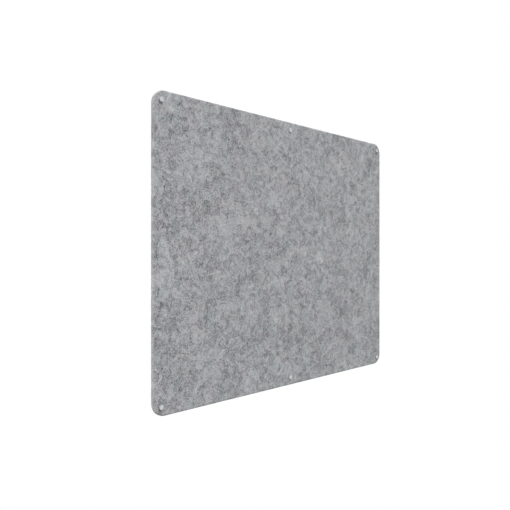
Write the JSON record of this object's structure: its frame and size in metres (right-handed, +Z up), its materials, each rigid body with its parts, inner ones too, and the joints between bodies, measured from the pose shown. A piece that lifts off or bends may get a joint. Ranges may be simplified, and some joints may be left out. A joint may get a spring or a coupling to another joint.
{
  "type": "acoustic pinboard",
  "caption": "Flat grey felt pinboard with rounded corners, held off the wall by screw-capped stand-off fixings along its top and bottom edges.",
  "frame": {"origin": "on the wall plane, at the middle of the four corner fixings' screw holes", "axes": "+X to the right along the board's width, +Y into the wall, +Z up; the board's face looks along -Y"},
  "size_m": [1.2, 0.0262, 0.9],
  "materials": {
    "felt": "pressed polyester felt, mottled grey, matt",
    "cap_grey": "bead-blasted and anodised, light silver grey",
    "barrel_metal": "turned and anodised, satin silver",
    "stud_steel": "rolled thread, bright zinc",
    "clear_plastic": "clear flexible plastic"
  },
  "bodies": {
    "board": {"felt_board": "felt", "barrel_top_left": "barrel_metal", "barrel_top_middle": "barrel_metal", "barrel_top_right": "barrel_metal", "barrel_bottom_left": "barrel_metal", "barrel_bottom_middle": "barrel_metal", "barrel_bottom_right": "barrel_metal", "rear_washer_top_left": "clear_plastic", "rear_washer_top_middle": "clear_plastic", "rear_washer_top_right": "clear_plastic", "rear_washer_bottom_left": "clear_plastic", "rear_washer_bottom_middle": "clear_plastic", "rear_washer_bottom_right": "clear_plastic"},
    "washer_top_left": {"front_washer_top_left": "clear_plastic"},
    "cap_top_left": {"cap_top_left": "cap_grey", "stud_top_left": "stud_steel"},
    "washer_top_middle": {"front_washer_top_middle": "clear_plastic"},
    "cap_top_middle": {"cap_top_middle": "cap_grey", "stud_top_middle": "stud_steel"},
    "washer_top_right": {"front_washer_top_right": "clear_plastic"},
    "cap_top_right": {"cap_top_right": "cap_grey", "stud_top_right": "stud_steel"},
    "washer_bottom_left": {"front_washer_bottom_left": "clear_plastic"},
    "cap_bottom_left": {"cap_bottom_left": "cap_grey", "stud_bottom_left": "stud_steel"},
    "washer_bottom_middle": {"front_washer_bottom_middle": "clear_plastic"},
    "cap_bottom_middle": {"cap_bottom_middle": "cap_grey", "stud_bottom_middle": "stud_steel"},
    "washer_bottom_right": {"front_washer_bottom_right": "clear_plastic"},
    "cap_bottom_right": {"cap_bottom_right": "cap_grey", "stud_bottom_right": "stud_steel"}
  },
  "joints": [
    {"name": "draw_top_left", "type": "slide", "parent": "board", "child": "washer_top_left", "axis": [0, -1, 0], "range_m": [0, 0.00625]},
    {"name": "unscrew_top_left", "type": "hinge", "parent": "washer_top_left", "child": "cap_top_left", "pos_m": [-0.573, -0.022, 0.424], "axis": [0, -1, 0], "range_deg": [0, 1800]},
    {"name": "draw_top_middle", "type": "slide", "parent": "board", "child": "washer_top_middle", "axis": [0, -1, 0], "range_m": [0, 0.00625]},
    {"name": "unscrew_top_middle", "type": "hinge", "parent": "washer_top_middle", "child": "cap_top_middle", "pos_m": [0, -0.022, 0.424], "axis": [0, -1, 0], "range_deg": [0, 1800]},
    {"name": "draw_top_right", "type": "slide", "parent": "board", "child": "washer_top_right", "axis": [0, -1, 0], "range_m": [0, 0.00625]},
    {"name": "unscrew_top_right", "type": "hinge", "parent": "washer_top_right", "child": "cap_top_right", "pos_m": [0.573, -0.022, 0.424], "axis": [0, -1, 0], "range_deg": [0, 1800]},
    {"name": "draw_bottom_left", "type": "slide", "parent": "board", "child": "washer_bottom_left", "axis": [0, -1, 0], "range_m": [0, 0.00625]},
    {"name": "unscrew_bottom_left", "type": "hinge", "parent": "washer_bottom_left", "child": "cap_bottom_left", "pos_m": [-0.573, -0.022, -0.424], "axis": [0, -1, 0], "range_deg": [0, 1800]},
    {"name": "draw_bottom_middle", "type": "slide", "parent": "board", "child": "washer_bottom_middle", "axis": [0, -1, 0], "range_m": [0, 0.00625]},
    {"name": "unscrew_bottom_middle", "type": "hinge", "parent": "washer_bottom_middle", "child": "cap_bottom_middle", "pos_m": [0, -0.022, -0.424], "axis": [0, -1, 0], "range_deg": [0, 1800]},
    {"name": "draw_bottom_right", "type": "slide", "parent": "board", "child": "washer_bottom_right", "axis": [0, -1, 0], "range_m": [0, 0.00625]},
    {"name": "unscrew_bottom_right", "type": "hinge", "parent": "washer_bottom_right", "child": "cap_bottom_right", "pos_m": [0.573, -0.022, -0.424], "axis": [0, -1, 0], "range_deg": [0, 1800]}
  ],
  "couplings": [
    {"joint": "unscrew_top_left", "follows": "draw_top_left", "rad_per_m": 5026.5},
    {"joint": "unscrew_top_middle", "follows": "draw_top_middle", "rad_per_m": 5026.5},
    {"joint": "unscrew_top_right", "follows": "draw_top_right", "rad_per_m": 5026.5},
    {"joint": "unscrew_bottom_left", "follows": "draw_bottom_left", "rad_per_m": 5026.5},
    {"joint": "unscrew_bottom_middle", "follows": "draw_bottom_middle", "rad_per_m": 5026.5},
    {"joint": "unscrew_bottom_right", "follows": "draw_bottom_right", "rad_per_m": 5026.5}
  ]
}
